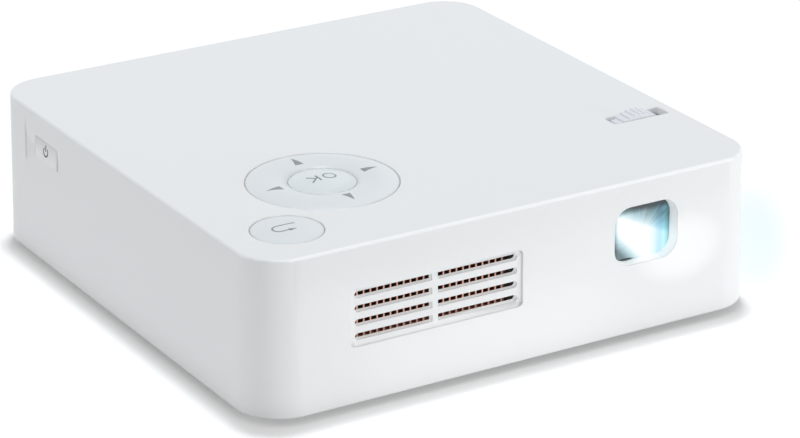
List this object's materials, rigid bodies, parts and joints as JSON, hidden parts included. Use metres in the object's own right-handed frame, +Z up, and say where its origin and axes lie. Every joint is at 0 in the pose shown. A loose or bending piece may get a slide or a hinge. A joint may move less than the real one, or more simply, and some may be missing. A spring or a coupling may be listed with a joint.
{
  "type": "pocket projector",
  "caption": "Square, flat pocket projector with rounded corners: rocking key pad and focus wheel on top, lens window and cooling slots in front, sockets behind.",
  "frame": {"origin": "centre of the bounding box, on the plane that the rubber feet stand on", "axes": "-Y is the front with the lens window, +Y the back with the sockets, -X the side with the power key, +Z up"},
  "size_m": [0.143, 0.143, 0.0428],
  "materials": {
    "housing": "satin moulded white",
    "cover": "fine matt moulded white",
    "key": "satin white",
    "ok_key": "satin white, a shade cooler",
    "foot": "matt dark rubber",
    "insert": "turned",
    "screw": "dark plated",
    "window": "clear, lightly tinted",
    "optic": "polished and coated",
    "silicone": "matt silicone",
    "board": "solder mask",
    "flex": "polyimide film",
    "wheel": "satin white",
    "steel": "bright",
    "acetal": "natural",
    "black_plastic": "black, matt",
    "die_cast": "as cast",
    "led_board": "white metal-core board",
    "mirror_chip": "mirror behind a cover glass",
    "heatsink": "extruded, natural",
    "copper": "bare copper",
    "foam": "closed-cell foam",
    "chip": "moulded black",
    "card": "blue solder mask",
    "battery": "laminated foil",
    "socket_shell": "pressed, plated",
    "socket_black": "moulded black"
  },
  "bodies": {
    "base": {"upper_housing": "housing", "base_cover": "cover", "feet": "foot", "tripod_insert": "insert", "housing_screws": "screw", "inner_screws": "steel", "lens_window": "window", "key_mat": "silicone", "key_board": "board", "side_key_board": "board", "key_ribbon": "flex", "focus_bracket": "steel", "focus_pins": "steel", "lens_sleeve": "black_plastic", "engine_case": "die_cast", "engine_lid": "die_cast", "prism": "optic", "relay_lens": "optic", "microlens_plate": "optic", "dichroic_plate": "optic", "collimator_lenses": "optic", "green_led_board": "led_board", "red_blue_led_board": "led_board", "mirror_chip": "mirror_chip", "mirror_board": "board", "mirror_heatsink": "heatsink", "led_heat_plate": "copper", "heat_pipe": "copper", "fin_stack": "copper", "air_seal": "foam", "fan_case": "black_plastic", "fan_lid": "black_plastic", "fan_motor": "steel", "main_board": "board", "board_chips": "chip", "chip_heatsink": "heatsink", "wireless_card": "card", "battery_pack": "battery", "hdmi_socket": "socket_shell", "usb_socket": "socket_shell", "audio_socket": "socket_black", "power_socket": "socket_black", "speaker_box": "black_plastic", "speaker_driver": "steel"},
    "pad_rocker": {"dpad_cushion": "silicone"},
    "pad": {"dpad_ring": "key"},
    "ok_key": {"ok_button": "ok_key"},
    "return_key": {"return_button": "key"},
    "power_key": {"power_button": "key"},
    "focus_knob": {"focus_wheel": "wheel"},
    "idler": {"idler_gear": "acetal"},
    "cam_ring": {"focus_ring": "black_plastic"},
    "lens_group": {"lens_barrel": "black_plastic", "guide_pins": "steel", "front_lens": "optic", "middle_lens": "optic", "rear_lens": "optic"},
    "fan_wheel": {"fan_rotor": "black_plastic"}
  },
  "joints": [
    {"name": "pad_tilt_side", "type": "hinge", "parent": "base", "child": "pad_rocker", "pos_m": [-0.0316, -0.0316, 0.0386], "axis": [1, 0, 0], "range_deg": [-1.5, 1.5], "stiffness_Nm_per_rad": 0.3},
    {"name": "pad_tilt_front", "type": "hinge", "parent": "pad_rocker", "child": "pad", "pos_m": [-0.0316, -0.0316, 0.0386], "axis": [0, 1, 0], "range_deg": [-1.5, 1.5], "stiffness_Nm_per_rad": 0.3},
    {"name": "ok_press", "type": "slide", "parent": "base", "child": "ok_key", "axis": [0, 0, -1], "range_m": [0, 0.00035], "stiffness_N_per_m": 1500},
    {"name": "return_press", "type": "slide", "parent": "base", "child": "return_key", "axis": [0, 0, -1], "range_m": [0, 0.00035], "stiffness_N_per_m": 1500},
    {"name": "power_press", "type": "slide", "parent": "base", "child": "power_key", "axis": [1, 0, 0], "range_m": [0, 0.00035], "stiffness_N_per_m": 1500},
    {"name": "focus_wheel_turn", "type": "hinge", "parent": "base", "child": "focus_knob", "pos_m": [0.059, -0.0336, 0.0336], "axis": [0, -1, 0], "range_deg": [-59, 59]},
    {"name": "idler_turn", "type": "hinge", "parent": "base", "child": "idler", "pos_m": [0.05148, -0.0301, 0.02986], "axis": [0, -1, 0], "range_deg": [-69, 69]},
    {"name": "focus_ring_turn", "type": "hinge", "parent": "base", "child": "cam_ring", "pos_m": [0.0367, -0.0301, 0.0273], "axis": [0, -1, 0], "range_deg": [-24, 24]},
    {"name": "lens_slide", "type": "slide", "parent": "base", "child": "lens_group", "axis": [0, -1, 0], "range_m": [-0.00066, 0.00066]},
    {"name": "fan_spin", "type": "hinge", "parent": "base", "child": "fan_wheel", "pos_m": [-0.02419, -0.03115, 0.024], "axis": [0, 0, 1], "continuous": true}
  ],
  "couplings": [
    {"joint": "focus_wheel_turn", "follows": "lens_slide", "rad_per_m": 1549.9},
    {"joint": "idler_turn", "follows": "lens_slide", "rad_per_m": -1788.3},
    {"joint": "focus_ring_turn", "follows": "lens_slide", "rad_per_m": 628.32}
  ]
}
